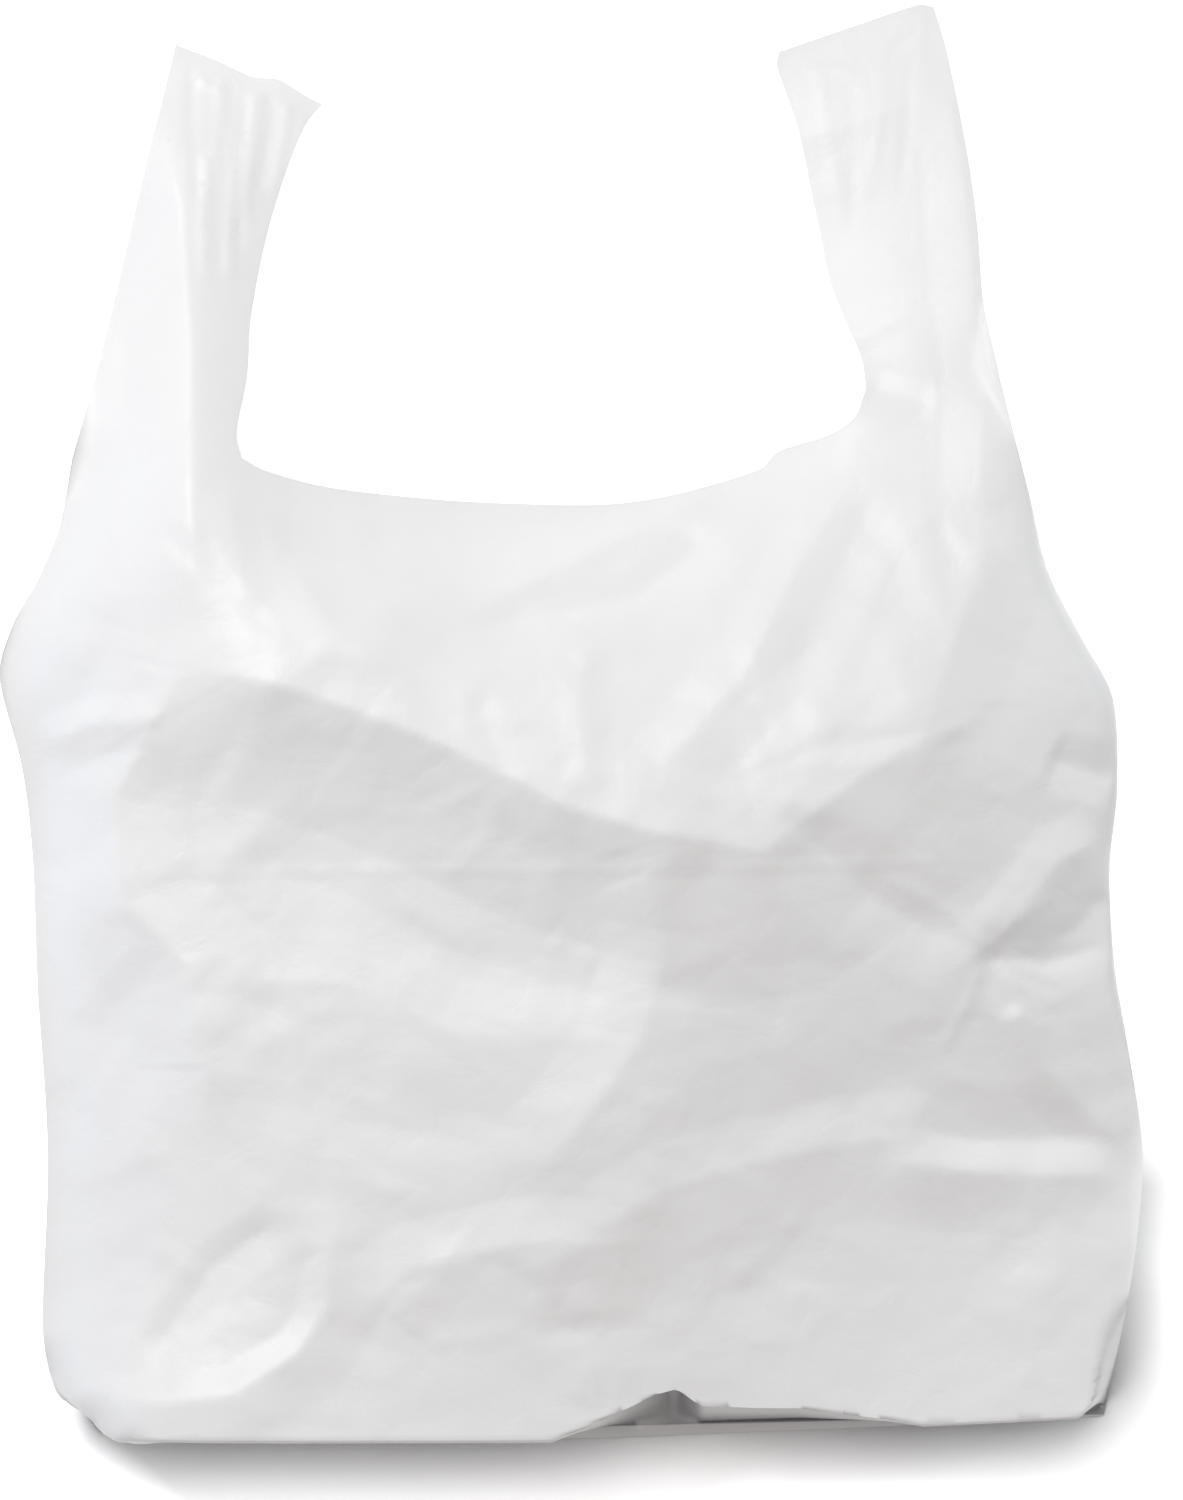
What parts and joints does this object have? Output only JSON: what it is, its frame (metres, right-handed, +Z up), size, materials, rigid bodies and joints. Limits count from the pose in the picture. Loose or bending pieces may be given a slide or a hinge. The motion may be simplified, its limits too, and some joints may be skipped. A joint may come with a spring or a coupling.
{
  "type": "t-shirt bag",
  "caption": "Plain white thin-film carrier bag with side gussets and two loop handles, puffed up and creased, lying on its back.",
  "frame": {"origin": "middle of the bag's bounding box in plan, at floor level", "axes": "+X across the bag, to its right as seen from above; +Y from the bottom seal to the handles; +Z up from the floor, out of the bag's front"},
  "size_m": [0.4557, 0.5752, 0.1087],
  "materials": {
    "white_film": "thin white polyethylene film with a soft sheen"
  },
  "bodies": {
    "root": {"bag": "white_film"}
  },
  "joints": []
}
